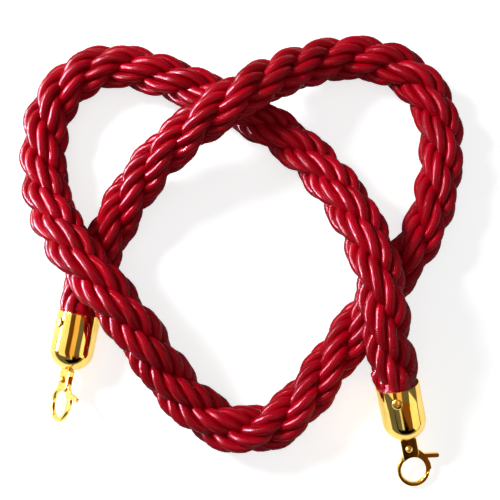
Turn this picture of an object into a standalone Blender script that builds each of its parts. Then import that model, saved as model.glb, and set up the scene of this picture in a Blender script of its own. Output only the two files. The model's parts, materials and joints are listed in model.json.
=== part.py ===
"""A twisted barrier rope with a bell-shaped metal cap and a swivelling trigger snap hook on each end.

The rope lies on the plane z = 0 in a heart with three crossings. Metres, +Z up. The origin is on that
plane, midway between the two end fittings' outermost faces. End a is the left one and end b the right one.

Every piece of a fitting is modelled in the fitting's own frame: the origin is the centre of the cap's
mouth, Z runs along the cap's axis towards the hook, X lies in the hook's flat plane towards the thumb
lever, and Y stands square to that plane.
"""

import math

import bmesh
import bpy
import numpy as np
from mathutils import Matrix, Vector

GAP = 0.0003  # air between pieces that touch on the real object
RUNNING_GAP = 0.00008  # air round a pin in its hole

# Rope
ROPE_RADIUS = 0.015
ROPE_POINT_SPACING = 0.024
ROPE_STRAIGHT_END = 0.004  # the rope runs straight along the cap's axis for this far

# The rope's centre line, from the mouth of cap a to the mouth of cap b
ROUTE = [
    (-0.114, 0.059, 0.0171),
    (-0.103, 0.094, 0.0156),
    (-0.089, 0.125, 0.0175),
    (-0.070, 0.153, 0.0260),
    (-0.047, 0.175, 0.0380),
    (-0.022, 0.193, 0.0460),
    (0.003, 0.210, 0.0455),
    (0.034, 0.229, 0.0305),
    (0.066, 0.241, 0.0185),
    (0.094, 0.241, 0.0156),
    (0.116, 0.232, 0.0156),
    (0.132, 0.215, 0.0156),
    (0.141, 0.188, 0.0156),
    (0.139, 0.153, 0.0156),
    (0.128, 0.118, 0.0156),
    (0.110, 0.090, 0.0156),
    (0.080, 0.049, 0.0156),
    (0.055, 0.015, 0.0156),
    (0.037, -0.007, 0.0156),
    (0.017, -0.020, 0.0156),
    (-0.006, -0.021, 0.0156),
    (-0.028, -0.010, 0.0170),
    (-0.048, 0.011, 0.0240),
    (-0.065, 0.037, 0.0375),
    (-0.082, 0.061, 0.0465),
    (-0.102, 0.085, 0.0480),
    (-0.122, 0.111, 0.0390),
    (-0.137, 0.141, 0.0240),
    (-0.142, 0.175, 0.0162),
    (-0.137, 0.205, 0.0156),
    (-0.121, 0.226, 0.0156),
    (-0.099, 0.236, 0.0156),
    (-0.071, 0.233, 0.0156),
    (-0.022, 0.214, 0.0156),
    (0.031, 0.183, 0.0175),
    (0.061, 0.151, 0.0270),
    (0.082, 0.113, 0.0415),
    (0.092, 0.079, 0.0485),
    (0.097, 0.046, 0.0418),
    (0.106, 0.010, 0.0252),
]

# End cap: a straight wall, then half an ellipse down to a flat round the hook's stud
CAP_RADIUS = 0.0152
CAP_WALL = 0.001
CAP_STRAIGHT = 0.0265
DOME_LENGTH = 0.0143
DOME_INNER_LENGTH = 0.013
DOME_FLAT_RADIUS = 0.0058
DOME_INNER_FLAT_RADIUS = 0.0072
CAP_SIDES = 40
DOME_STEPS = 8

# Screw that holds the rope in the cap
SCREW_PLACE = 0.0083  # from the cap's mouth
SCREW_HEAD_RADIUS = 0.0035
SCREW_HEAD_HEIGHT = 0.0016
SCREW_SHANK_RADIUS = 0.0012
SCREW_LENGTH = 0.008
CROSS_WIDTH = 0.0008
CROSS_LENGTH = 0.0036
CROSS_DEPTH = 0.0009

# Bound rope end inside the cap
BINDING_LENGTH = 0.026

# Stud that the hook turns on, and the washer under its head
STUD_RADIUS = 0.0015
STUD_HEAD_RADIUS = 0.0042
STUD_HEAD_HEIGHT = 0.0014
STUD_INTO_NECK = 0.0035
WASHER_RADIUS = 0.0064
WASHER_THICKNESS = 0.0011

# Snap hook
NECK_WIDTH = 0.0112
NECK_THICKNESS = 0.0046
EYE_CENTRE = 0.0645
EYE_STRETCH = 1.09  # the eye is longer than it is wide
EYE_INNER_RADIUS = 0.0086
EYE_OUTER_RADIUS = 0.0117
EYE_THICKNESS = 0.0032
ARM_END_ANGLE = 7.1  # from the X axis; the nose's face is cut back from there
NOSE_RADIUS = 0.0232  # from the pivot to the nose's face, past the gate's end and the lever's tip
NECK_ARM_ANGLE = 244.0  # where the fixed arm leaves the neck
EYE_STEPS = 31
PIVOT_X = -0.0008
PIVOT_Z = 0.0478
SLOT_THICKNESS = 0.003
HUB_RADIUS = 0.0032
GATE_THICKNESS = 0.0024
GATE_TIP_RADIUS = 0.02285  # from the pivot
GATE_BULGE = 0.0009  # how far the gate stands out past the arm
GATE_ROOT_ANGLE = -52.0
LEVER_START = (0.0092, 0.0560)
LEVER_END = (0.0180, 0.0578)
LEVER_HALF_WIDTH = 0.0016
PIN_RADIUS = 0.001
PIN_HEAD_RADIUS = 0.0025
PIN_HEAD_HEIGHT = 0.002
PIN_TAIL_RADIUS = 0.0018
PIN_TAIL_HEIGHT = 0.0007
SPRING_WIRE = 0.0002  # half the wire's thickness
SPRING_RADIUS = 0.00165
SPRING_TURNS = 2
SPRING_PITCH = 0.00042
SPRING_RECESS_RADIUS = 0.0024

# How each fitting lies: mouth centre, heading from -Y towards +X, downward tilt, turn of the hook on its
# stud, and the screw's place round the cap, from its top towards -X. Angles are in degrees.
FITTINGS = {
    "a": {"mouth": ROUTE[0], "heading": -11.8, "tilt": 4.0, "swivel": 47.0, "screw": 44.0},
    "b": {"mouth": ROUTE[-1], "heading": 12.8, "tilt": 17.5, "swivel": 0.0, "screw": 18.0},
}

COLOURS = {
    "rope": ((0.42, 0.004, 0.012), 0.45, 0.0),
    "binding": ((0.25, 0.01, 0.015), 0.8, 0.0),
    "gold": ((0.93, 0.66, 0.22), 0.15, 1.0),
    "steel": ((0.6, 0.6, 0.6), 0.3, 1.0),
}


def clear_scene():
    for obj in list(bpy.data.objects):
        bpy.data.objects.remove(obj)


def material(name):
    found = bpy.data.materials.get(name)
    if found:
        return found
    colour, roughness, metallic = COLOURS[name]
    made = bpy.data.materials.new(name)
    made.use_nodes = True
    shader = made.node_tree.nodes["Principled BSDF"]
    shader.inputs["Base Color"].default_value = (*colour, 1)
    shader.inputs["Roughness"].default_value = roughness
    shader.inputs["Metallic"].default_value = metallic
    return made


def add_object(name, data, parent, material_name):
    obj = bpy.data.objects.new(name, data)
    bpy.context.scene.collection.objects.link(obj)
    obj.parent = parent
    data.materials.append(material(material_name))
    return obj


def finished_mesh(bm, name):
    bmesh.ops.remove_doubles(bm, verts=bm.verts, dist=1e-7)
    bmesh.ops.recalc_face_normals(bm, faces=bm.faces)
    mesh = bpy.data.meshes.new(name)
    bm.to_mesh(mesh)
    bm.free()
    mesh.shade_smooth()
    mesh.set_sharp_from_angle(angle=math.radians(35))
    return mesh


def turned(name, profile, sides, closed=False):
    """A mesh turned about Z from (radius, z) points. A closed profile is a ring; an open one ends on the axis."""
    bm = bmesh.new()
    verts = [bm.verts.new((r, 0, z)) for r, z in profile]
    pairs = list(zip(verts, verts[1:]))
    if closed:
        pairs.append((verts[-1], verts[0]))
    edges = [bm.edges.new(pair) for pair in pairs]
    bmesh.ops.spin(
        bm, geom=verts + edges, cent=(0, 0, 0), axis=(0, 0, 1), angle=2 * math.pi, steps=sides, use_merge=True
    )
    return finished_mesh(bm, name)


def plate(name, outline, thickness):
    """A mesh of an (x, z) outline, extruded to half the thickness on each side of the plane y = 0."""
    bm = bmesh.new()
    face = bm.faces.new([bm.verts.new((x, -thickness / 2, z)) for x, z in outline])
    grown = bmesh.ops.extrude_face_region(bm, geom=[face])
    moved = [item for item in grown["geom"] if isinstance(item, bmesh.types.BMVert)]
    bmesh.ops.translate(bm, verts=moved, vec=(0, thickness, 0))
    return finished_mesh(bm, name)


def box(name, size, centre):
    bm = bmesh.new()
    bmesh.ops.create_cube(bm, size=1, matrix=Matrix.Translation(centre) @ Matrix.Diagonal((*size, 1)))
    return finished_mesh(bm, name)


def cylinder(name, radius, start, end, sides=24):
    return turned(name, [(0, start), (radius, start), (radius, end), (0, end)], sides)


def cut(obj, cutter_mesh, placement=None, operation="DIFFERENCE"):
    """Adds a Boolean whose hidden cutter has the object's own parent and placement."""
    cutter = bpy.data.objects.new("cutter_" + cutter_mesh.name, cutter_mesh)
    bpy.context.scene.collection.objects.link(cutter)
    cutter.parent = obj.parent
    cutter.matrix_local = placement or Matrix.Identity(4)
    cutter.hide_render = True
    cutter.display_type = "WIRE"
    boolean = obj.modifiers.new(cutter_mesh.name, "BOOLEAN")
    boolean.operation = operation
    boolean.object = cutter


def arc(centre, radius, start, end, steps, stretch=1.0):
    """(x, z) points on a circle, stretched along Z, from the angle start to end, in degrees from X."""
    angles = np.radians(np.linspace(start, end, steps))
    return [(centre[0] + radius * math.cos(a), centre[1] + stretch * radius * math.sin(a)) for a in angles]


def eye_arc(radius, start, end, steps):
    return arc((0, EYE_CENTRE), radius, start, end, steps, EYE_STRETCH)


def axis_of(heading, tilt):
    h, t = math.radians(heading), math.radians(tilt)
    return Vector((math.sin(h) * math.cos(t), -math.cos(h) * math.cos(t), -math.sin(t)))


def smooth_route(points, start, end, steps=40):
    """Points on a smooth cubic curve through the given points, which leaves and arrives along two directions."""
    p = np.array(points)
    h = np.linalg.norm(np.diff(p, axis=0), axis=1)
    slope = np.diff(p, axis=0) / h[:, None]
    matrix = np.eye(len(p))
    wanted = np.zeros(p.shape)
    wanted[0], wanted[-1] = start, end
    for i in range(1, len(p) - 1):
        matrix[i, i - 1 : i + 2] = 1 / h[i - 1], 2 / h[i - 1] + 2 / h[i], 1 / h[i]
        wanted[i] = 3 * (slope[i - 1] / h[i - 1] + slope[i] / h[i])
    tangent = np.linalg.solve(matrix, wanted)
    s = (np.arange(steps) / steps)[:, None]
    found = []
    for i in range(len(p) - 1):
        along = (s**3 - 2 * s**2 + s) * tangent[i] + (s**3 - s**2) * tangent[i + 1]
        found.append(p[i] + (3 * s**2 - 2 * s**3) * (p[i + 1] - p[i]) + along * h[i])
    return np.vstack([*found, p[-1:]])


def rope_centre_line():
    """Points of the rope's tube, evenly spaced, with a straight stretch just before each cap's mouth."""
    away = {end: axis_of(lie["heading"], lie["tilt"]) for end, lie in FITTINGS.items()}
    curve = smooth_route(ROUTE, -away["a"], away["b"])
    travelled = np.concatenate([[0], np.cumsum(np.linalg.norm(np.diff(curve, axis=0), axis=1))])
    count = round(travelled[-1] / ROPE_POINT_SPACING)
    places = np.linspace(0, travelled[-1], count + 1)[1:-1]
    middle = [Vector(np.interp(place, travelled, axis) for axis in curve.T) for place in places]
    start = [Vector(ROUTE[0]) - away["a"] * d for d in (GAP, ROPE_STRAIGHT_END)]
    end = [Vector(ROUTE[-1]) - away["b"] * d for d in (ROPE_STRAIGHT_END, GAP)]
    return start + middle + end


def make_rope():
    curve = bpy.data.curves.new("rope", "CURVE")
    curve.dimensions = "3D"
    curve.bevel_depth = ROPE_RADIUS
    curve.bevel_resolution = 4
    curve.use_fill_caps = True
    points = rope_centre_line()
    spline = curve.splines.new("POLY")
    spline.points.add(len(points) - 1)
    for target, point in zip(spline.points, points):
        target.co = (*point, 1)
    add_object("rope", curve, None, "rope")


def empty(name, parent, placement):
    made = bpy.data.objects.new(name, None)
    bpy.context.scene.collection.objects.link(made)
    made.parent = parent
    made.matrix_local = placement
    return made


def fitting_frame(end, lie):
    """An empty at the cap's mouth, with Z along the cap and X level."""
    z = axis_of(lie["heading"], lie["tilt"])
    h = math.radians(lie["heading"])
    x = Vector((math.cos(h), math.sin(h), 0))
    placement = Matrix((x, z.cross(x), z)).transposed().to_4x4()
    placement.translation = lie["mouth"]
    return empty("fitting_" + end, None, placement)


def screw_placement(angle):
    """Z out of the cap's wall at the screw, the origin on the cap's axis."""
    turn = Matrix.Rotation(math.radians(angle), 4, "Z")
    return Matrix.Translation((0, 0, SCREW_PLACE)) @ turn @ Matrix.Rotation(math.radians(-90), 4, "X")


def dome(radius, length, flat_radius):
    """(radius, z) points of half an ellipse, from the straight wall to the flat at its end."""
    last = math.acos(flat_radius / radius)
    angles = np.linspace(0, last, DOME_STEPS)
    return [(radius * math.cos(a), CAP_STRAIGHT + length * math.sin(a)) for a in angles]


def make_cap(end, frame, screw_at):
    outer = dome(CAP_RADIUS, DOME_LENGTH, DOME_FLAT_RADIUS)
    inner = dome(CAP_RADIUS - CAP_WALL, DOME_INNER_LENGTH, DOME_INNER_FLAT_RADIUS)
    hole = STUD_RADIUS + RUNNING_GAP
    profile = [(CAP_RADIUS, 0)] + outer + [(hole, outer[-1][1]), (hole, inner[-1][1])]
    profile += inner[::-1] + [(CAP_RADIUS - CAP_WALL, 0)]
    cap = add_object("end_cap_" + end, turned("cap", profile, CAP_SIDES, closed=True), frame, "gold")
    hole_mesh = cylinder("screw_hole_" + end, SCREW_SHANK_RADIUS + GAP, 0.011, 0.018, 16)
    cut(cap, hole_mesh, screw_at)


def seat_height():
    """Where the washer bears on the inside of the dome, from the cap's mouth."""
    return dome(CAP_RADIUS - CAP_WALL, DOME_INNER_LENGTH, DOME_INNER_FLAT_RADIUS)[-1][1]


def make_binding(end, frame, screw_at):
    mesh = cylinder("binding", CAP_RADIUS - CAP_WALL - GAP, 0, BINDING_LENGTH, CAP_SIDES)
    binding = add_object("rope_binding_" + end, mesh, frame, "binding")
    deepest = CAP_RADIUS - SCREW_LENGTH
    hole = cylinder("binding_hole_" + end, SCREW_SHANK_RADIUS + GAP, deepest, 0.018, 16)
    cut(binding, hole, screw_at)


def make_screw(end, frame, screw_at):
    """The head stands on the cap's wall, with a cross recess, and the shank runs inwards from it."""
    under = CAP_RADIUS + GAP
    crown = [
        (SCREW_HEAD_RADIUS * math.cos(a), under + SCREW_HEAD_HEIGHT * (0.4 + 0.6 * math.sin(a)))
        for a in np.radians((0, 30, 60))
    ]
    tip = CAP_RADIUS - SCREW_LENGTH + GAP
    profile = [(0, tip), (SCREW_SHANK_RADIUS, tip), (SCREW_SHANK_RADIUS, under), (SCREW_HEAD_RADIUS, under)]
    profile += crown + [(0, under + SCREW_HEAD_HEIGHT)]
    screw = add_object("cap_screw_" + end, turned("cap_screw", profile, 20), frame, "gold")
    screw.matrix_local = screw_at
    top = under + SCREW_HEAD_HEIGHT
    for name, turn in (("first", 0), ("second", 90)):
        bar = box(f"cross_{name}_{end}", (CROSS_LENGTH, CROSS_WIDTH, 2 * CROSS_DEPTH), (0, 0, top))
        cut(screw, bar, screw_at @ Matrix.Rotation(math.radians(turn), 4, "Z"))


def make_washer(end, frame):
    top = seat_height() - GAP
    low = top - WASHER_THICKNESS
    hole = STUD_RADIUS + RUNNING_GAP
    profile = [(WASHER_RADIUS, low), (WASHER_RADIUS, top), (hole, top), (hole, low)]
    mesh = turned("washer", profile, 24, closed=True)
    add_object("swivel_washer_" + end, mesh, frame, "steel")


def neck_start():
    """The hook's neck begins just clear of the dome's flat."""
    return dome(CAP_RADIUS, DOME_LENGTH, DOME_FLAT_RADIUS)[-1][1] + GAP


def make_stud(end, swivel):
    head_top = seat_height() - WASHER_THICKNESS - 2 * GAP
    low = head_top - STUD_HEAD_HEIGHT
    tip = neck_start() + STUD_INTO_NECK - GAP
    profile = [(0, low), (STUD_HEAD_RADIUS, low), (STUD_HEAD_RADIUS, head_top), (STUD_RADIUS, head_top)]
    profile += [(STUD_RADIUS, tip), (0, tip)]
    add_object("swivel_stud_" + end, turned("stud", profile, 20), swivel, "gold")


def arm_mesh(name):
    """The fixed arm round the eye: a rounded section swept along an arc from inside the neck to the nose."""
    middle = (EYE_INNER_RADIUS + EYE_OUTER_RADIUS) / 2
    half_width = (EYE_OUTER_RADIUS - EYE_INNER_RADIUS) / 2
    half_depth = EYE_THICKNESS / 2
    corner = 0.55
    section = [(1, corner), (corner, 1), (-corner, 1), (-1, corner)]
    section += [(-a, -b) for a, b in section]
    bm = bmesh.new()
    rings = []
    for angle in np.radians(np.linspace(NECK_ARM_ANGLE, ARM_END_ANGLE, EYE_STEPS)):
        ring = []
        for a, b in section:
            r = middle + a * half_width
            place = (r * math.cos(angle), b * half_depth, EYE_CENTRE + EYE_STRETCH * r * math.sin(angle))
            ring.append(bm.verts.new(place))
        rings.append(ring)
    for one, other in zip(rings, rings[1:]):
        for i in range(len(section)):
            j = (i + 1) % len(section)
            bm.faces.new((one[i], one[j], other[j], other[i]))
    bm.faces.new(rings[0])
    bm.faces.new(rings[-1])
    return finished_mesh(bm, name)


def make_hook_body(end, swivel):
    """A flat neck, slotted for the gate, with a socket for the stud and the fixed arm round the eye."""
    half = NECK_WIDTH / 2
    shoulder = 0.0008
    top = neck_start()
    root_radius = EYE_INNER_RADIUS + GAP
    left_corner = 180 + math.degrees(math.acos(half / root_radius))
    under = eye_arc(root_radius, left_corner, 296, 9)
    outline = [(-half, top + shoulder)] + under
    outline += [(half, EYE_CENTRE - 0.0116), (half, top + shoulder), (half - shoulder, top), (shoulder - half, top)]
    body = add_object("hook_body_" + end, plate("neck", outline, NECK_THICKNESS), swivel, "gold")
    cut(body, arm_mesh("hook_arm_" + end), operation="UNION")
    nose = arc((PIVOT_X, PIVOT_Z), NOSE_RADIUS, 40, 75, 8)
    nose += [(nose[-1][0], EYE_CENTRE - EYE_INNER_RADIUS), (nose[0][0], EYE_CENTRE - EYE_INNER_RADIUS)]
    cut(body, plate("nose_cut_" + end, nose, 2 * NECK_THICKNESS))
    slot_left = PIVOT_X - HUB_RADIUS - GAP
    slot_top = PIVOT_Z - HUB_RADIUS - GAP
    slot_bottom = EYE_CENTRE - 0.0082
    size = (0.02, SLOT_THICKNESS, slot_bottom - slot_top)
    centre = (slot_left + size[0] / 2, 0, (slot_top + slot_bottom) / 2)
    cut(body, box("gate_slot_" + end, size, centre))
    pin_line = Matrix.Translation((PIVOT_X, 0, PIVOT_Z)) @ Matrix.Rotation(math.radians(-90), 4, "X")
    cut(body, cylinder("pin_hole_" + end, PIN_RADIUS + RUNNING_GAP, -0.006, 0.006, 16), pin_line)
    socket = cylinder("stud_socket_" + end, STUD_RADIUS + RUNNING_GAP, top - 0.001, top + STUD_INTO_NECK, 20)
    cut(body, socket)


def gate_outline():
    """Hub round the pivot, thumb lever, and the arm that closes the eye, as (x, z) points."""
    start, finish = Vector(LEVER_START), Vector(LEVER_END)
    along = (finish - start).normalized()
    side = Vector((-along.y, along.x)) * LEVER_HALF_WIDTH
    heading = math.degrees(math.atan2(along.y, along.x))
    hub = arc((PIVOT_X, PIVOT_Z), HUB_RADIUS, 100, 290, 10)
    tip = arc(finish, LEVER_HALF_WIDTH, heading - 90, heading + 90, 6)
    outer = eye_arc(EYE_OUTER_RADIUS + GATE_BULGE, -27, 7, 7)
    end = arc((PIVOT_X, PIVOT_Z), GATE_TIP_RADIUS, 55, 68, 5)
    inner = eye_arc(EYE_INNER_RADIUS, 29, GATE_ROOT_ANGLE, 10)
    root = [(0.0058, 0.0500), tuple(start - side)]
    return hub + root + tip + [tuple(start + side)] + outer + end + inner


def make_gate(end, pivot):
    """The gate's objects hang on an empty on the pivot, so their meshes are moved to it."""
    to_pivot = Matrix.Translation((-PIVOT_X, 0, -PIVOT_Z))
    mesh = plate("gate", gate_outline(), GATE_THICKNESS)
    mesh.transform(to_pivot)
    gate = add_object("hook_gate_" + end, mesh, pivot, "gold")
    pin_line = Matrix.Rotation(math.radians(-90), 4, "X")
    cut(gate, cylinder("gate_bore_" + end, PIN_RADIUS + RUNNING_GAP, -0.006, 0.006, 16), pin_line)
    cut(gate, cylinder("spring_recess_" + end, SPRING_RECESS_RADIUS, 0, 0.006, 20), pin_line)


def make_pin(end, pivot):
    """A rivet along the pivot's Y, with a domed head above the neck and a flat tail below it."""
    face = NECK_THICKNESS / 2 + GAP
    angles = np.radians((0, 25, 50, 75))
    crown = [(PIN_HEAD_RADIUS * math.cos(a), face + PIN_HEAD_HEIGHT * math.sin(a)) for a in angles]
    tail = face + PIN_TAIL_HEIGHT
    profile = [(0, -tail), (PIN_TAIL_RADIUS, -tail), (PIN_TAIL_RADIUS, -face), (PIN_RADIUS, -face)]
    profile += [(PIN_RADIUS, face)] + crown + [(0, face + PIN_HEAD_HEIGHT)]
    pin = add_object("gate_pin_" + end, turned("pin", profile, 20), pivot, "gold")
    pin.rotation_euler = (math.radians(-90), 0, 0)


def make_spring(end, pivot):
    """The coil of the gate's torsion spring, round the pin in the gate's recess."""
    steps_per_turn = 14
    count = SPRING_TURNS * steps_per_turn + 1
    clear = (SLOT_THICKNESS / 2 - SPRING_TURNS * SPRING_PITCH) / 2
    curve = bpy.data.curves.new("gate_spring_" + end, "CURVE")
    curve.dimensions = "3D"
    curve.bevel_depth = SPRING_WIRE
    curve.bevel_resolution = 1
    curve.use_fill_caps = True
    spline = curve.splines.new("POLY")
    spline.points.add(count - 1)
    for i, point in enumerate(spline.points):
        angle = 2 * math.pi * i / steps_per_turn
        y = clear + SPRING_PITCH * i / steps_per_turn
        point.co = (SPRING_RADIUS * math.cos(angle), y, SPRING_RADIUS * math.sin(angle), 1)
    add_object("gate_spring_" + end, curve, pivot, "steel")


def make_fitting(end, lie):
    frame = fitting_frame(end, lie)
    screw_at = screw_placement(lie["screw"])
    make_cap(end, frame, screw_at)
    make_binding(end, frame, screw_at)
    make_screw(end, frame, screw_at)
    make_washer(end, frame)
    swivel = empty("swivel_" + end, frame, Matrix.Rotation(math.radians(lie["swivel"]), 4, "Z"))
    make_stud(end, swivel)
    make_hook_body(end, swivel)
    pivot = empty("pivot_" + end, swivel, Matrix.Translation((PIVOT_X, 0, PIVOT_Z)))
    make_gate(end, pivot)
    make_pin(end, pivot)
    make_spring(end, pivot)


def main():
    clear_scene()
    make_rope()
    for end, lie in FITTINGS.items():
        make_fitting(end, lie)


main()
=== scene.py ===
"""The looks of a twisted satin barrier rope with a polished gold cap and snap hook on each end.

The rope is three strands of four cords, swept along the route that the CAD gives its tube. The fittings are
built in their own frames: origin at the centre of the cap's mouth, Z along the cap towards the hook, X in
the hook's flat plane towards its thumb lever, Y square to that plane.
"""

import json
import math

import bmesh
import bpy
import numpy as np
from mathutils import Matrix, Vector

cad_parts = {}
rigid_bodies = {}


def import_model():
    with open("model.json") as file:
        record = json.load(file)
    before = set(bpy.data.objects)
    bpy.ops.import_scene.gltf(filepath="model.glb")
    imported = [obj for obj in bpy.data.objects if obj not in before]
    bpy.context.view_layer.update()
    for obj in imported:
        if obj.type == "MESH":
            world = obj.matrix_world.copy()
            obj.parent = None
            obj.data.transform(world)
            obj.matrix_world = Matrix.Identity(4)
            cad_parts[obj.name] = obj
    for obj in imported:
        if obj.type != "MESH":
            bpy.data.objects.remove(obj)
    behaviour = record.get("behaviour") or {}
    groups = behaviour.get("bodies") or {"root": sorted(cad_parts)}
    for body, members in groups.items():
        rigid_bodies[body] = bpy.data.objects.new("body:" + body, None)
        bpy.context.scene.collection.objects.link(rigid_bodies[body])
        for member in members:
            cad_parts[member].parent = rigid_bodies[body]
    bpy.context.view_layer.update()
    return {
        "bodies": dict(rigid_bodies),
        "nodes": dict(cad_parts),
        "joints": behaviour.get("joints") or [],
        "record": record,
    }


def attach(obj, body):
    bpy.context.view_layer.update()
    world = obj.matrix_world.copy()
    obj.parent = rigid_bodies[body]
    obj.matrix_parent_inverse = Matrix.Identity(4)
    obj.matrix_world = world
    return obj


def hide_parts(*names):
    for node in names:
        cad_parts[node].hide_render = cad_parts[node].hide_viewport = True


# The rope's centre line, from the mouth of cap a to the mouth of cap b
ROUTE = [
    (-0.114, 0.059, 0.0171),
    (-0.103, 0.094, 0.0156),
    (-0.089, 0.125, 0.0175),
    (-0.070, 0.153, 0.0260),
    (-0.047, 0.175, 0.0380),
    (-0.022, 0.193, 0.0460),
    (0.003, 0.210, 0.0455),
    (0.034, 0.229, 0.0305),
    (0.066, 0.241, 0.0185),
    (0.094, 0.241, 0.0156),
    (0.116, 0.232, 0.0156),
    (0.132, 0.215, 0.0156),
    (0.141, 0.188, 0.0156),
    (0.139, 0.153, 0.0156),
    (0.128, 0.118, 0.0156),
    (0.110, 0.090, 0.0156),
    (0.080, 0.049, 0.0156),
    (0.055, 0.015, 0.0156),
    (0.037, -0.007, 0.0156),
    (0.017, -0.020, 0.0156),
    (-0.006, -0.021, 0.0156),
    (-0.028, -0.010, 0.0170),
    (-0.048, 0.011, 0.0240),
    (-0.065, 0.037, 0.0375),
    (-0.082, 0.061, 0.0465),
    (-0.102, 0.085, 0.0480),
    (-0.122, 0.111, 0.0390),
    (-0.137, 0.141, 0.0240),
    (-0.142, 0.175, 0.0162),
    (-0.137, 0.205, 0.0156),
    (-0.121, 0.226, 0.0156),
    (-0.099, 0.236, 0.0156),
    (-0.071, 0.233, 0.0156),
    (-0.022, 0.214, 0.0156),
    (0.031, 0.183, 0.0175),
    (0.061, 0.151, 0.0270),
    (0.082, 0.113, 0.0415),
    (0.092, 0.079, 0.0485),
    (0.097, 0.046, 0.0418),
    (0.106, 0.010, 0.0252),
]

# The fittings: heading from -Y towards +X, downward tilt, the hook's turn on its stud and the screw's
# place round the cap, all in degrees
FITTINGS = {
    "a": {"mouth": ROUTE[0], "heading": -11.8, "tilt": 4.0, "swivel": 47.0, "screw": 44.0},
    "b": {"mouth": ROUTE[-1], "heading": 12.8, "tilt": 17.5, "swivel": 0.0, "screw": 18.0},
}

# Camera
CAMERA_PLACE = (0.005, 0.0407, 0.667)
CAMERA_TILT = 5.5  # degrees from straight down towards +Y
CAMERA_LENS = 66.7

# Light and stage
WORLD_LIGHT = 0.15
KEY_POWER = 17.0
SIDE_POWER = 190.0
TOP_POWER = 3.0
FLOOR_GLOW = 0.74
FLOOR_WHITENESS = 0.6
CARD_HEIGHT = 0.85  # above the camera

# Rope
STRANDS = 3
CORDS = 4
CORD_SIDES = 12
RING_SPACING = 0.0020
STRAND_OFFSET = 0.0079
CORD_OFFSET = 0.0053
CORD_HALF_WIDTH = 0.0036
CORD_HALF_HEIGHT = 0.0037
STRAND_PHASE = 20.0  # degrees
CORD_LAY = 0.033
RIB_SPACING = 0.0011
ROPE_INTO_CAP = 0.0008
ROPE_RADIUS_IN_CAP = 0.0141
SQUEEZE_LENGTH = 0.006  # past a cap's mouth, where the rope swells to its full thickness
FREE_RADIUS = 0.0175
TAPER_LENGTH = 0.012
TAPER_TO = 1.15
FLOOR_CLEARANCE = 0.0004
CORE_LENGTH = 0.016  # the core yarn shows between the strands at each cap's mouth only
CORE_RADIUS_IN_CAP = 0.0139
CORE_RADIUS_INSIDE = 0.0085
# (share of the rope's length, lay in metres), and (share, thickness against the mean)
LAYS = [
    (0.0, 0.100), (0.11, 0.100), (0.17, 0.085), (0.34, 0.081), (0.41, 0.104),
    (0.57, 0.106), (0.64, 0.080), (0.78, 0.079), (0.83, 0.094), (1.0, 0.096),
]
FULLNESS = [
    (0.0, 0.99), (0.10, 0.98), (0.20, 0.98), (0.26, 1.0), (0.32, 0.97), (0.43, 1.0), (0.49, 1.06),
    (0.55, 1.05), (0.65, 1.03), (0.70, 1.01), (0.75, 0.97), (0.85, 0.97), (0.90, 1.05), (1.0, 1.03),
]

# Cap, along its axis from the mouth
CAP_RADIUS = 0.0152
CAP_WALL = 0.001
CAP_STRAIGHT = 0.0265
DOME_LENGTH = 0.0143
DOME_INNER_LENGTH = 0.013
DOME_FLAT_RADIUS = 0.0058
DOME_INNER_FLAT_RADIUS = 0.0072
RIM_ROUND = 0.0004
CAP_SIDES = 96
STUD_HOLE_RADIUS = 0.00158

# Screw in the cap's wall
SCREW_PLACE = 0.0083
SCREW_HEAD_RADIUS = 0.0035
SCREW_HEAD_HEIGHT = 0.0016
SCREW_SHANK_RADIUS = 0.0012
SCREW_LENGTH = 0.008
CROSS_WIDTH = 0.0008
CROSS_LENGTH = 0.0036
CROSS_DEPTH = 0.0009

# Snap hook
GAP = 0.0003
NECK_START = 0.04006
NECK_WIDTH = 0.0112
NECK_THICKNESS = 0.0046
EYE_CENTRE = 0.0645
EYE_STRETCH = 1.09
EYE_INNER_RADIUS = 0.0086
EYE_OUTER_RADIUS = 0.0117
EYE_THICKNESS = 0.0034
ARM_ANGLES = (244.0, 7.1)
PIVOT_X = -0.0008
PIVOT_Z = 0.0478
NOSE_RADIUS = 0.0232
GATE_TIP_RADIUS = 0.02285
GATE_BULGE = 0.0009
GATE_ROOT_ANGLE = -52.0
GATE_THICKNESS = 0.0024
SLOT_THICKNESS = 0.003
HUB_RADIUS = 0.0032
LEVER_START = (0.0092, 0.0560)
LEVER_END = (0.0180, 0.0578)
LEVER_HALF_WIDTH = 0.0016
PIN_RADIUS = 0.001
PIN_HEAD_RADIUS = 0.0025
PIN_HEAD_HEIGHT = 0.002
PIN_TAIL_RADIUS = 0.0018
PIN_TAIL_HEIGHT = 0.0007
CASTING_VOXEL = 0.00020
CASTING_SMOOTHING = 5


def linear(colour):
    """Linear values of a colour given as display values from 0 to 255."""
    parts = [c / 255 for c in colour]
    return tuple(p / 12.92 if p <= 0.04045 else ((p + 0.055) / 1.055) ** 2.4 for p in parts)


def collection_link(obj):
    bpy.context.scene.collection.objects.link(obj)
    return obj


# Route


def axis_of(heading, tilt):
    h, t = math.radians(heading), math.radians(tilt)
    return np.array([math.sin(h) * math.cos(t), -math.cos(h) * math.cos(t), -math.sin(t)])


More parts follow.
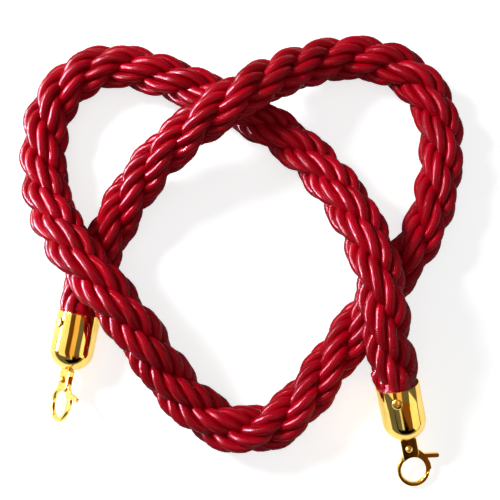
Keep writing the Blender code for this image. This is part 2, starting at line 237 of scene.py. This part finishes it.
def smooth_route(points, start, end, steps=40):
    """Points on a smooth cubic curve through the given points, which leaves and arrives along two directions."""
    p = np.array(points)
    h = np.linalg.norm(np.diff(p, axis=0), axis=1)
    slope = np.diff(p, axis=0) / h[:, None]
    matrix = np.eye(len(p))
    wanted = np.zeros(p.shape)
    wanted[0], wanted[-1] = start, end
    for i in range(1, len(p) - 1):
        matrix[i, i - 1 : i + 2] = 1 / h[i - 1], 2 / h[i - 1] + 2 / h[i], 1 / h[i]
        wanted[i] = 3 * (slope[i - 1] / h[i - 1] + slope[i] / h[i])
    tangent = np.linalg.solve(matrix, wanted)
    s = (np.arange(steps) / steps)[:, None]
    found = []
    for i in range(len(p) - 1):
        along = (s**3 - 2 * s**2 + s) * tangent[i] + (s**3 - s**2) * tangent[i + 1]
        found.append(p[i] + (3 * s**2 - 2 * s**3) * (p[i + 1] - p[i]) + along * h[i])
    return np.vstack([*found, p[-1:]])


def travelled(points):
    return np.concatenate([[0], np.cumsum(np.linalg.norm(np.diff(points, axis=0), axis=1))])


def resampled(points, spacing):
    at = travelled(points)
    places = np.linspace(0, at[-1], round(at[-1] / spacing) + 1)
    return np.stack([np.interp(places, at, axis) for axis in points.T], axis=1)


def directions(points):
    d = np.gradient(points, axis=0)
    return d / np.linalg.norm(d, axis=1)[:, None]


def untwisted_normals(points, tangent):
    """A unit vector square to the line at each point, carried along it without turning round it."""
    normal = np.zeros(points.shape)
    first = np.cross(tangent[0], (0, 0, 1))
    normal[0] = first / np.linalg.norm(first)
    for i in range(len(points) - 1):
        step = points[i + 1] - points[i]
        mirrored = normal[i] - 2 * step * (step @ normal[i]) / (step @ step)
        turned = tangent[i] - 2 * step * (step @ tangent[i]) / (step @ step)
        second = tangent[i + 1] - turned
        if second @ second > 1e-18:
            mirrored = mirrored - 2 * second * (second @ mirrored) / (second @ second)
        flat = mirrored - tangent[i + 1] * (mirrored @ tangent[i + 1])
        normal[i + 1] = flat / np.linalg.norm(flat)
    return normal


# Rope


def squeezed(ring, line, at):
    """Cord points held inside the caps' mouths, and free to swell a little way out of them."""
    from_mouth = np.minimum(at, at[-1] - at) - ROPE_INTO_CAP
    limit = np.interp(from_mouth, (0, SQUEEZE_LENGTH), (ROPE_RADIUS_IN_CAP, FREE_RADIUS))
    spoke = ring - line[:, None, :]
    reach = np.linalg.norm(spoke, axis=2, keepdims=True)
    return line[:, None, :] + spoke * np.minimum(1, limit[:, None, None] / reach)


def cord_quads(rings, first):
    i = np.arange(rings - 1)[:, None] * CORD_SIDES
    j = np.arange(CORD_SIDES)[None, :]
    k = (j + 1) % CORD_SIDES
    return np.stack([i + j, i + k, i + CORD_SIDES + k, i + CORD_SIDES + j], axis=2).reshape(-1, 4) + first


def cord_uvs(length):
    """Metres along the cord and turns round it, for the corners of each quad."""
    u, u_next = np.repeat(length[:-1], CORD_SIDES), np.repeat(length[1:], CORD_SIDES)
    v = np.tile(np.arange(CORD_SIDES), len(length) - 1) / CORD_SIDES
    v_next = v + 1 / CORD_SIDES
    return np.stack([u, v, u, v_next, u_next, v_next, u_next, v], axis=1).reshape(-1, 2)


def closed_tube(ring, length, first):
    """The faces and UVs of one tube with closed ends, whose vertices are numbered from first."""
    count = len(ring)
    turn = np.arange(CORD_SIDES) / CORD_SIDES
    faces, uvs = cord_quads(count, first).tolist(), [cord_uvs(length)]
    for end, order in ((0, -1), (count - 1, 1)):
        faces.append((first + end * CORD_SIDES + np.arange(CORD_SIDES))[::order].tolist())
        uvs.append(np.stack([np.full(CORD_SIDES, length[end]), turn], axis=1))
    return faces, np.vstack(uvs)


def core_tubes(line, at, normal, side):
    """The core yarn at each end, which fills the cap's mouth and thins out between the strands."""
    around = 2 * math.pi * np.arange(CORD_SIDES) / CORD_SIDES
    spoke = np.cos(around)[:, None] * normal[:, None, :] + np.sin(around)[:, None] * side[:, None, :]
    from_end = np.minimum(at, at[-1] - at)
    radius = np.interp(from_end, (0, CORE_LENGTH), (CORE_RADIUS_IN_CAP, CORE_RADIUS_INSIDE))
    ring = line[:, None, :] + radius[:, None, None] * spoke
    return [(ring[near], at[near]) for near in (at < CORE_LENGTH, at > at[-1] - CORE_LENGTH)]


def rope_mesh(name, line):
    """All twelve cords as closed tubes, with a UV map of metres along the cord and turns round it."""
    at = travelled(line)
    share = at / at[-1]
    tangent = directions(line)
    normal = untwisted_normals(line, tangent)
    side = np.cross(tangent, normal)
    lay = np.interp(share, *np.array(LAYS).T)
    eased = np.clip(np.minimum(at, at[-1] - at) / TAPER_LENGTH, 0, 1)
    taper = TAPER_TO + (1 - TAPER_TO) * eased * eased * (3 - 2 * eased)
    size = np.interp(share, *np.array(FULLNESS).T) * taper
    turns = np.concatenate([[0], np.cumsum(np.diff(at) / ((lay[1:] + lay[:-1]) / 2))])
    around = 2 * math.pi * np.arange(CORD_SIDES) / CORD_SIDES
    tubes = core_tubes(line, at, normal, side)
    for strand in range(STRANDS):
        angle = math.radians(STRAND_PHASE) + 2 * math.pi * (strand / STRANDS - turns)
        outward = np.cos(angle)[:, None] * normal + np.sin(angle)[:, None] * side
        centre = line + outward * (STRAND_OFFSET * size)[:, None]
        strand_tangent = directions(centre)
        across = np.cross(strand_tangent, outward)
        across /= np.linalg.norm(across, axis=1)[:, None]
        out = np.cross(across, strand_tangent)
        for cord in range(CORDS):
            phi = 2 * math.pi * (cord / CORDS + at / CORD_LAY + strand / 5)
            spoke = np.cos(phi)[:, None] * out + np.sin(phi)[:, None] * across
            path = centre + spoke * (CORD_OFFSET * size)[:, None]
            along = directions(path)
            wide = np.cross(along, spoke)
            wide /= np.linalg.norm(wide, axis=1)[:, None]
            high = np.cross(wide, along)
            ring = (
                path[:, None, :]
                + (CORD_HALF_HEIGHT * size)[:, None, None] * np.cos(around)[None, :, None] * high[:, None, :]
                + (CORD_HALF_WIDTH * size)[:, None, None] * np.sin(around)[None, :, None] * wide[:, None, :]
            )
            ring = squeezed(ring, line, at)
            ring[:, :, 2] = np.maximum(ring[:, :, 2], FLOOR_CLEARANCE)
            tubes.append((ring, travelled(path)))
    verts, faces, uvs, tints, first = [], [], [], [], 0
    for index, (ring, length) in enumerate(tubes):
        tube_faces, tube_uvs = closed_tube(ring, length, first)
        verts.append(ring.reshape(-1, 3))
        faces.extend(tube_faces)
        uvs.append(tube_uvs)
        tints.append(np.full(len(verts[-1]), (index * 0.37) % 1.0))
        first += len(verts[-1])
    mesh = bpy.data.meshes.new(name)
    mesh.from_pydata(np.vstack(verts).tolist(), [], faces)
    mesh.uv_layers.new(name="thread").data.foreach_set("uv", np.vstack(uvs).ravel())
    mesh.attributes.new("tint", "FLOAT", "POINT").data.foreach_set("value", np.concatenate(tints))
    mesh.shade_smooth()
    return mesh


# Shapes of the fittings


def arc(centre, radius, start, end, steps, stretch=1.0):
    """(x, z) points of an arc, stretched along z. Angles are in degrees from x towards z."""
    angles = np.radians(np.linspace(start, end, steps))
    return [(centre[0] + radius * math.cos(a), centre[1] + stretch * radius * math.sin(a)) for a in angles]


def eye_arc(radius, start, end, steps):
    return arc((0, EYE_CENTRE), radius, start, end, steps, EYE_STRETCH)


def mesh_from(bm, name):
    bmesh.ops.recalc_face_normals(bm, faces=bm.faces)
    mesh = bpy.data.meshes.new(name)
    bm.to_mesh(mesh)
    bm.free()
    return mesh


def turned(name, profile, sides, closed=False):
    """The (radius, z) profile turned round Z. A closed profile has a bore, an open one starts and ends on Z."""
    bm = bmesh.new()
    rings = []
    for radius, z in profile:
        if radius == 0:
            rings.append([bm.verts.new((0, 0, z))] * sides)
            continue
        turns = [2 * math.pi * i / sides for i in range(sides)]
        rings.append([bm.verts.new((radius * math.cos(a), radius * math.sin(a), z)) for a in turns])
    pairs = list(zip(rings, rings[1:]))
    if closed:
        pairs.append((rings[-1], rings[0]))
    for one, other in pairs:
        for i in range(sides):
            j = (i + 1) % sides
            corners = list(dict.fromkeys((one[i], one[j], other[j], other[i])))
            bm.faces.new(corners)
    return mesh_from(bm, name)


def plate(name, outline, thickness):
    """An (x, z) outline given thickness along Y, half on each side of it."""
    bm = bmesh.new()
    near = [bm.verts.new((x, -thickness / 2, z)) for x, z in outline]
    far = [bm.verts.new((x, thickness / 2, z)) for x, z in outline]
    bm.faces.new(near)
    bm.faces.new(far[::-1])
    for i in range(len(outline)):
        j = (i + 1) % len(outline)
        bm.faces.new((near[j], near[i], far[i], far[j]))
    return mesh_from(bm, name)


def box(name, size, centre):
    bm = bmesh.new()
    bmesh.ops.create_cube(bm, size=1, matrix=Matrix.Translation(centre) @ Matrix.Diagonal((*size, 1)))
    return mesh_from(bm, name)


def joined(name, meshes):
    bm = bmesh.new()
    for mesh in meshes:
        bm.from_mesh(mesh)
    return mesh_from(bm, name)


def evaluated(obj):
    """The object's mesh with its modifiers applied. The object itself is removed."""
    graph = bpy.context.evaluated_depsgraph_get()
    made = bpy.data.meshes.new_from_object(obj.evaluated_get(graph), depsgraph=graph)
    bpy.data.objects.remove(obj)
    return made


def carved(mesh, cutters):
    """The mesh with each cutter's shape taken out of it."""
    obj = collection_link(bpy.data.objects.new("carved", mesh))
    helpers = [collection_link(bpy.data.objects.new("cutter", cutter)) for cutter in cutters]
    for helper in helpers:
        cut = obj.modifiers.new("cut", "BOOLEAN")
        cut.operation = "DIFFERENCE"
        cut.object = helper
    made = evaluated(obj)
    for helper in helpers:
        bpy.data.objects.remove(helper)
    return made


def remeshed(mesh, voxel, smoothing=0):
    """One even skin over the mesh's bodies, with its edges rounded as a polished casting's are."""
    obj = collection_link(bpy.data.objects.new("casting", mesh))
    skin = obj.modifiers.new("skin", "REMESH")
    skin.mode = "VOXEL"
    skin.voxel_size = voxel
    if smoothing:
        soften = obj.modifiers.new("soften", "SMOOTH")
        soften.iterations = smoothing
        soften.factor = 0.5
    return evaluated(obj)


def casting(name, bodies, cutters):
    whole = remeshed(joined(name, bodies), CASTING_VOXEL)
    made = remeshed(carved(whole, cutters), CASTING_VOXEL, CASTING_SMOOTHING)
    made.shade_smooth()
    return made


def arm_mesh():
    """The fixed arm round the eye: a rounded section swept along an oval arc."""
    middle = (EYE_INNER_RADIUS + EYE_OUTER_RADIUS) / 2
    half_width = (EYE_OUTER_RADIUS - EYE_INNER_RADIUS) / 2
    squareness = 0.62
    sides = [2 * math.pi * i / 20 for i in range(20)]
    section = [
        [math.copysign(abs(part) ** squareness, part) for part in (math.cos(a), math.sin(a))] for a in sides
    ]
    bm = bmesh.new()
    rings = []
    for angle in np.radians(np.linspace(*ARM_ANGLES, 90)):
        ring = []
        for a, b in section:
            r = middle + a * half_width
            z = EYE_CENTRE + EYE_STRETCH * r * math.sin(angle)
            ring.append(bm.verts.new((r * math.cos(angle), b * EYE_THICKNESS / 2, z)))
        rings.append(ring)
    for one, other in zip(rings, rings[1:]):
        for i in range(len(section)):
            j = (i + 1) % len(section)
            bm.faces.new((one[i], one[j], other[j], other[i]))
    bm.faces.new(rings[0])
    bm.faces.new(rings[-1])
    return mesh_from(bm, "arm")


def pin_hole(radius):
    """A cutter along Y through the pivot."""
    mesh = turned("hole", [(0, -0.006), (radius, -0.006), (radius, 0.006), (0, 0.006)], 32)
    mesh.transform(Matrix.Translation((PIVOT_X, 0, PIVOT_Z)) @ Matrix.Rotation(math.radians(-90), 4, "X"))
    return mesh


def hook_body_mesh():
    half = NECK_WIDTH / 2
    shoulder = 0.0008
    root_radius = EYE_INNER_RADIUS + GAP
    left_corner = 180 + math.degrees(math.acos(half / root_radius))
    outline = [(-half, NECK_START + shoulder)] + eye_arc(root_radius, left_corner, 296, 24)
    outline += [(half, EYE_CENTRE - 0.0116), (half, NECK_START + shoulder)]
    outline += [(half - shoulder, NECK_START), (shoulder - half, NECK_START)]
    nose = arc((PIVOT_X, PIVOT_Z), NOSE_RADIUS, 40, 75, 30)
    below = EYE_CENTRE - EYE_INNER_RADIUS
    nose += [(nose[-1][0], below), (nose[0][0], below)]
    slot_left = PIVOT_X - HUB_RADIUS - GAP
    slot_low = PIVOT_Z - HUB_RADIUS - GAP
    slot_high = EYE_CENTRE - 0.0082
    slot_centre = (slot_left + 0.01, 0, (slot_low + slot_high) / 2)
    slot = box("slot", (0.02, SLOT_THICKNESS, slot_high - slot_low), slot_centre)
    cutters = [plate("nose", nose, 0.01), slot, pin_hole(PIN_RADIUS + GAP)]
    return casting("hook_body", [plate("neck", outline, NECK_THICKNESS), arm_mesh()], cutters)


def gate_mesh():
    """Hub in the slot, thumb lever, and the arm that closes the eye."""
    start, finish = Vector(LEVER_START), Vector(LEVER_END)
    along = (finish - start).normalized()
    side = Vector((-along.y, along.x)) * LEVER_HALF_WIDTH
    heading = math.degrees(math.atan2(along.y, along.x))
    outline = arc((PIVOT_X, PIVOT_Z), HUB_RADIUS, 100, 290, 20)
    outline += [(0.0058, 0.0500), tuple(start - side)]
    outline += arc(finish, LEVER_HALF_WIDTH, heading - 90, heading + 90, 14)
    outline += [tuple(start + side)] + eye_arc(EYE_OUTER_RADIUS + GATE_BULGE, -27, 7, 14)
    outline += arc((PIVOT_X, PIVOT_Z), GATE_TIP_RADIUS, 55, 68, 10)
    outline += eye_arc(EYE_INNER_RADIUS, 29, GATE_ROOT_ANGLE, 24)
    return casting("gate", [plate("gate", outline, GATE_THICKNESS)], [pin_hole(PIN_RADIUS + GAP)])


def dome(radius, length, flat_radius, steps=28):
    """(radius, z) points of half an ellipse, from the straight wall to the flat at its end."""
    angles = np.linspace(0, math.acos(flat_radius / radius), steps)
    return [(radius * math.cos(a), CAP_STRAIGHT + length * math.sin(a)) for a in angles]


def cap_mesh():
    """A turned bell: straight wall with a rounded rim, and a domed end with a bore for the stud."""
    inner_radius = CAP_RADIUS - CAP_WALL
    outer = dome(CAP_RADIUS, DOME_LENGTH, DOME_FLAT_RADIUS)
    inner = dome(inner_radius, DOME_INNER_LENGTH, DOME_INNER_FLAT_RADIUS)
    rim = []
    for a in np.radians((180, 225, 270)):
        rim.append((inner_radius + RIM_ROUND * (1 + math.cos(a)), RIM_ROUND * (1 + math.sin(a))))
    for a in np.radians((270, 315, 360)):
        rim.append((CAP_RADIUS - RIM_ROUND * (1 - math.cos(a)), RIM_ROUND * (1 + math.sin(a))))
    profile = rim + [(CAP_RADIUS, CAP_STRAIGHT / 2)] + outer
    profile += [(STUD_HOLE_RADIUS, outer[-1][1]), (STUD_HOLE_RADIUS, inner[-1][1])] + inner[::-1]
    mesh = turned("cap", profile, CAP_SIDES, closed=True)
    mesh.shade_smooth()
    mesh.set_sharp_from_angle(angle=math.radians(40))
    return mesh


def screw_mesh():
    """Z points out of the cap's wall, and the origin is on the cap's axis."""
    under = CAP_RADIUS + GAP
    crown = []
    for a in np.radians(np.linspace(0, 84, 12)):
        crown.append((SCREW_HEAD_RADIUS * math.cos(a), under + SCREW_HEAD_HEIGHT * (0.4 + 0.6 * math.sin(a))))
    tip = CAP_RADIUS - SCREW_LENGTH + GAP
    profile = [(0, tip), (SCREW_SHANK_RADIUS, tip), (SCREW_SHANK_RADIUS, under), (SCREW_HEAD_RADIUS, under)]
    profile += crown + [(0, under + SCREW_HEAD_HEIGHT)]
    top = under + SCREW_HEAD_HEIGHT
    bars = [
        box("bar", (CROSS_LENGTH, CROSS_WIDTH, 2 * CROSS_DEPTH), (0, 0, top)),
        box("bar", (CROSS_WIDTH, CROSS_LENGTH, 2 * CROSS_DEPTH), (0, 0, top)),
    ]
    mesh = carved(turned("screw", profile, 48), bars)
    mesh.shade_smooth()
    mesh.set_sharp_from_angle(angle=math.radians(32))
    return mesh


def pin_mesh():
    """A rivet with its axis on Y through the pivot, its domed head towards +Y and a flat tail behind."""
    face = NECK_THICKNESS / 2 + GAP
    crown = []
    for a in np.radians(np.linspace(0, 82, 14)):
        crown.append((PIN_HEAD_RADIUS * math.cos(a), face + PIN_HEAD_HEIGHT * math.sin(a)))
    tail = face + PIN_TAIL_HEIGHT
    profile = [(0, -tail), (PIN_TAIL_RADIUS, -tail), (PIN_TAIL_RADIUS, -face), (PIN_RADIUS, -face)]
    profile += [(PIN_RADIUS, face)] + crown + [(0, face + PIN_HEAD_HEIGHT)]
    mesh = turned("pin", profile, 48)
    mesh.transform(Matrix.Translation((PIVOT_X, 0, PIVOT_Z)) @ Matrix.Rotation(math.radians(-90), 4, "X"))
    mesh.shade_smooth()
    mesh.set_sharp_from_angle(angle=math.radians(35))
    return mesh


def fitting_frame(lie):
    z = Vector(axis_of(lie["heading"], lie["tilt"]))
    h = math.radians(lie["heading"])
    x = Vector((math.cos(h), math.sin(h), 0))
    placement = Matrix((x, z.cross(x), z)).transposed().to_4x4()
    placement.translation = lie["mouth"]
    return placement


def add_piece(name, mesh, placement, body, node, material):
    """A visible piece in the world's frame that rides on a body and stands for a CAD node."""
    mesh.transform(placement)
    mesh.materials.clear()
    mesh.materials.append(material)
    piece = collection_link(bpy.data.objects.new(name, mesh))
    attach(piece, body)
    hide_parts(node)


def add_fitting(end, lie, gold, worn_gold):
    frame = fitting_frame(lie)
    screw_turn = Matrix.Rotation(math.radians(lie["screw"]), 4, "Z")
    outward = Matrix.Rotation(math.radians(-90), 4, "X")
    screw_at = frame @ Matrix.Translation((0, 0, SCREW_PLACE)) @ screw_turn @ outward
    swivel = frame @ Matrix.Rotation(math.radians(lie["swivel"]), 4, "Z")
    add_piece("cap_" + end, cap_mesh(), frame, "main", "end_cap_" + end, gold)
    add_piece("screw_" + end, screw_mesh(), screw_at, "main", "cap_screw_" + end, worn_gold)
    add_piece("hook_" + end, hook_body_mesh(), swivel, "hook_" + end, "hook_body_" + end, gold)
    add_piece("pin_" + end, pin_mesh(), swivel, "hook_" + end, "gate_pin_" + end, worn_gold)
    add_piece("gate_" + end + "_casting", gate_mesh(), swivel, "gate_" + end, "hook_gate_" + end, gold)


# Materials


def new_material(name):
    made = bpy.data.materials.new(name)
    made.use_nodes = True
    tree = made.node_tree
    return made, tree, tree.nodes["Principled BSDF"]


def math_node(tree, operation, a, b=None):
    node = tree.nodes.new("ShaderNodeMath")
    node.operation = operation
    for socket, value in zip(node.inputs, (a, b)):
        if value is None:
            continue
        if isinstance(value, (int, float)):
            socket.default_value = value
        else:
            tree.links.new(value, socket)
    return node.outputs[0]


def noise_node(tree, scale, detail=2.0):
    """Noise in the object's own place, so that it stays put as the piece moves."""
    coords = tree.nodes.new("ShaderNodeTexCoord")
    noise = tree.nodes.new("ShaderNodeTexNoise")
    noise.inputs["Scale"].default_value = scale
    noise.inputs["Detail"].default_value = detail
    tree.links.new(coords.outputs["Object"], noise.inputs["Vector"])
    return noise.outputs[0]


def spread(tree, value, low, high):
    node = tree.nodes.new("ShaderNodeMapRange")
    node.inputs["To Min"].default_value = low
    node.inputs["To Max"].default_value = high
    tree.links.new(value, node.inputs["Value"])
    return node.outputs[0]


def ramp_node(tree, value, colours):
    """Colours given as (place, display values)."""
    ramp = tree.nodes.new("ShaderNodeValToRGB")
    while len(ramp.color_ramp.elements) < len(colours):
        ramp.color_ramp.elements.new(0.5)
    for element, (place, colour) in zip(ramp.color_ramp.elements, colours):
        element.position = place
        element.color = (*linear(colour), 1)
    tree.links.new(value, ramp.inputs[0])
    return ramp.outputs[0]


def add_bump(tree, shader, height, distance, strength):
    bump = tree.nodes.new("ShaderNodeBump")
    bump.inputs["Strength"].default_value = strength
    bump.inputs["Distance"].default_value = distance
    tree.links.new(height, bump.inputs["Height"])
    tree.links.new(bump.outputs[0], shader.inputs["Normal"])


def satin_material():
    """Fine glossy threads wound across each cord, with a slightly different red from cord to cord, and painted
    shade in the grooves between the turns.
    """
    made, tree, shader = new_material("satin_thread")
    uv = tree.nodes.new("ShaderNodeUVMap")
    uv.uv_map = "thread"
    split = tree.nodes.new("ShaderNodeSeparateXYZ")
    tree.links.new(uv.outputs[0], split.inputs[0])
    tint = tree.nodes.new("ShaderNodeAttribute")
    tint.attribute_name = "tint"
    slant = math_node(tree, "MULTIPLY", split.outputs[1], 2 * RIB_SPACING)
    place = math_node(tree, "ADD", split.outputs[0], slant)
    uneven = math_node(tree, "MULTIPLY", noise_node(tree, 260.0), RIB_SPACING)
    place = math_node(tree, "ADD", place, uneven)
    rib = math_node(tree, "SINE", math_node(tree, "MULTIPLY", place, 2 * math.pi / RIB_SPACING))
    fuzz = math_node(tree, "MULTIPLY", noise_node(tree, 1500.0), 0.3)
    add_bump(tree, shader, math_node(tree, "ADD", rib, fuzz), 0.00008, 0.8)
    mixed = math_node(tree, "MULTIPLY", tint.outputs["Fac"], 0.4)
    mixed = math_node(tree, "ADD", mixed, math_node(tree, "MULTIPLY", noise_node(tree, 70.0), 0.45))
    # The red darkens where the ribs dip, in the grooves between the thread turns: painted shade.
    mixed = math_node(tree, "ADD", mixed, math_node(tree, "MULTIPLY", rib, 0.25))
    colour = ramp_node(tree, mixed, [(0.1, (146, 0, 14)), (0.9, (204, 0, 32))])
    tree.links.new(colour, shader.inputs["Base Color"])
    tree.links.new(spread(tree, noise_node(tree, 500.0), 0.16, 0.26), shader.inputs["Roughness"])
    shader.inputs["Specular IOR Level"].default_value = 0.25
    shader.inputs["Specular Tint"].default_value = (1.0, 0.6, 0.72, 1)
    shader.inputs["Anisotropic"].default_value = 0.6
    along = tree.nodes.new("ShaderNodeTangent")
    along.direction_type = "UV_MAP"
    along.uv_map = "thread"
    tree.links.new(along.outputs[0], shader.inputs["Tangent"])
    return made


def gold_material(name, smoothest, roughest):
    """Bright gold plate, with the faint waves and rubbed patches of polished metal."""
    made, tree, shader = new_material(name)
    patches = noise_node(tree, 90.0)
    colour = ramp_node(tree, patches, [(0.3, (250, 206, 100)), (0.7, (255, 220, 122))])
    tree.links.new(colour, shader.inputs["Base Color"])
    shader.inputs["Metallic"].default_value = 1.0
    tree.links.new(spread(tree, noise_node(tree, 420.0, 6.0), smoothest, roughest), shader.inputs["Roughness"])
    add_bump(tree, shader, noise_node(tree, 180.0, 3.0), 0.00004, 0.22)
    return made


def steel_material():
    """Plain drawn steel with fine marks."""
    made, tree, shader = new_material("steel")
    colour = ramp_node(tree, noise_node(tree, 300.0), [(0.3, (165, 165, 168)), (0.7, (190, 190, 192))])
    tree.links.new(colour, shader.inputs["Base Color"])
    shader.inputs["Metallic"].default_value = 1.0
    tree.links.new(spread(tree, noise_node(tree, 900.0, 5.0), 0.25, 0.4), shader.inputs["Roughness"])
    add_bump(tree, shader, noise_node(tree, 1400.0), 0.00002, 0.3)
    return made


def binding_material():
    """Turns of matt thread, side by side along the rope's end, with painted shade in the grooves between them.
    """
    made, tree, shader = new_material("binding_thread")
    coords = tree.nodes.new("ShaderNodeTexCoord")
    turns = tree.nodes.new("ShaderNodeTexWave")
    turns.bands_direction = "Y"
    turns.inputs["Scale"].default_value = 380.0
    turns.inputs["Distortion"].default_value = 0.6
    tree.links.new(coords.outputs["Object"], turns.inputs["Vector"])
    # The red darkens where the bands dip, in the grooves between the turns: painted shade.
    colour = ramp_node(tree, turns.outputs["Fac"], [(0.0, (70, 4, 12)), (1.0, (128, 8, 24))])
    tree.links.new(colour, shader.inputs["Base Color"])
    shader.inputs["Roughness"].default_value = 0.8
    add_bump(tree, shader, turns.outputs["Fac"], 0.0002, 0.6)
    return made


# Stage


def add_camera():
    data = bpy.data.cameras.new("camera")
    data.lens = CAMERA_LENS
    data.clip_start = 0.01
    camera = collection_link(bpy.data.objects.new("camera", data))
    camera.location = CAMERA_PLACE
    camera.rotation_euler = (math.radians(CAMERA_TILT), 0, 0)
    bpy.context.scene.camera = camera


def add_area(name, place, target, size, power, colour=(1, 1, 1)):
    data = bpy.data.lights.new(name, "AREA")
    data.shape = "RECTANGLE"
    data.size, data.size_y = size
    data.energy = power
    data.color = colour
    lamp = collection_link(bpy.data.objects.new(name, data))
    lamp.location = place
    lamp.rotation_euler = (Vector(target) - Vector(place)).to_track_quat("-Z", "Y").to_euler()
    return lamp


def stage_plane(name, corners, colour, glow, diffuse=0.0):
    mesh = bpy.data.meshes.new(name)
    mesh.from_pydata(corners, [], [(0, 1, 2, 3)])
    plane = collection_link(bpy.data.objects.new(name, mesh))
    material, _, shader = new_material(name)
    shader.inputs["Base Color"].default_value = (diffuse, diffuse, diffuse, 1)
    shader.inputs["Roughness"].default_value = 1.0
    shader.inputs["Specular IOR Level"].default_value = 0.0
    shader.inputs["Emission Color"].default_value = (*colour, 1)
    shader.inputs["Emission Strength"].default_value = glow
    mesh.materials.append(material)
    return plane


def add_floor():
    """A white sheet that glows a little, so that only the shadows close to the rope show on it."""
    half = 4.0
    corners = [(-half, -half, 0), (half, -half, 0), (half, half, 0), (-half, half, 0)]
    floor = stage_plane("floor", corners, (1, 1, 1), FLOOR_GLOW, FLOOR_WHITENESS)
    floor.visible_diffuse = False


def keep_glow_off(source, target):
    """Light that a glowing sheet gives off doesn't reach the target, whose edges would mirror it in grey."""
    spared = bpy.data.collections.new(source.name + "_spared")
    spared.objects.link(target)
    source.light_linking.receiver_collection = spared
    spared.collection_objects[0].light_linking.link_state = "EXCLUDE"


def add_card(name, corners, colour, glow):
    """A studio card that only the polished metal mirrors."""
    card = stage_plane(name, corners, colour, glow)
    card.visible_camera = False
    card.visible_diffuse = False
    card.visible_shadow = False
    card.visible_transmission = False


def level_corners(x0, x1, y0, y1):
    return [(x0, y0, CARD_HEIGHT), (x1, y0, CARD_HEIGHT), (x1, y1, CARD_HEIGHT), (x0, y1, CARD_HEIGHT)]


def add_cards():
    white, warm, brown = (1.0, 0.97, 0.86), (1.0, 0.66, 0.30), (1.0, 0.36, 0.06)
    add_card("card_left", level_corners(-1.85, -0.56, -0.65, 0.90), white, 1.2)
    add_card("card_over", level_corners(-0.16, 0.21, -0.60, 0.30), warm, 1.0)
    add_card("card_umber", level_corners(-0.54, -0.18, -0.60, 0.30), (1.0, 0.40, 0.08), 0.14)
    add_card("card_gap", level_corners(-0.15, 0.02, -1.05, -0.62), white, 0.9)
    add_card("card_brown", level_corners(0.07, 0.95, -0.735, -0.45), brown, 0.24)
    add_card("card_hook_dark", level_corners(0.07, 0.465, -1.25, -0.740), brown, 0.0)
    add_card("card_hook_brown", level_corners(0.465, 0.95, -1.25, -0.740), brown, 0.15)
    add_card("card_dome_dark", level_corners(-1.0, 2.5, -5.0, -1.26), brown, 0.0)
    right = [(1.3, -1.15, 0.12), (1.3, -0.2, 0.12), (1.3, -0.2, 1.25), (1.3, -1.15, 1.25)]
    add_card("card_right", right, white, 1.3)


def set_world(strength):
    world = bpy.data.worlds.new("world")
    bpy.context.scene.world = world
    world.use_nodes = True
    background = world.node_tree.nodes["Background"]
    background.inputs[0].default_value = (1, 1, 1, 1)
    background.inputs[1].default_value = strength


def add_stage():
    bpy.context.scene.view_settings.view_transform = "Standard"
    add_camera()
    add_floor()
    add_cards()
    set_world(WORLD_LIGHT)
    add_area("key", (-0.9, 0.65, 0.80), (0, 0.1, 0), (0.3, 0.3), KEY_POWER)
    side = add_area("side", (-1.25, 0.25, 0.32), (0, 0.1, 0), (0.5, 0.05), SIDE_POWER, (1.0, 0.55, 0.66))
    side.visible_diffuse = False
    top = add_area("top", (0, 0.1, 1.4), (0, 0.1, 0), (1.2, 1.2), TOP_POWER)
    top.visible_glossy = False


def add_rope():
    away = {end: axis_of(lie["heading"], lie["tilt"]) for end, lie in FITTINGS.items()}
    curve = smooth_route(ROUTE, -away["a"], away["b"])
    centre = resampled(curve, RING_SPACING)
    inside_a = ROUTE[0] + away["a"] * ROPE_INTO_CAP
    inside_b = ROUTE[-1] + away["b"] * ROPE_INTO_CAP
    line = np.vstack([[inside_a], centre, [inside_b]])
    rope = collection_link(bpy.data.objects.new("satin_rope", rope_mesh("satin_rope", line)))
    rope.data.materials.append(satin_material())
    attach(rope, "main")
    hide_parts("rope")


def finish_node(frame, start, material):
    """A better material on every CAD node whose name starts this way."""
    for name, node in frame["nodes"].items():
        if name.startswith(start):
            node.data.materials.clear()
            node.data.materials.append(material)


def main():
    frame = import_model()
    add_stage()
    add_rope()
    gold = gold_material("gold_plate", 0.04, 0.13)
    worn_gold = gold_material("worn_gold", 0.18, 0.28)
    for end, lie in FITTINGS.items():
        add_fitting(end, lie, gold, worn_gold)
    steel = steel_material()
    finish_node(frame, "swivel_stud", gold)
    finish_node(frame, "swivel_washer", steel)
    finish_node(frame, "gate_spring", steel)
    finish_node(frame, "rope_binding", binding_material())
    keep_glow_off(bpy.data.objects["floor"], bpy.data.objects["satin_rope"])


main()
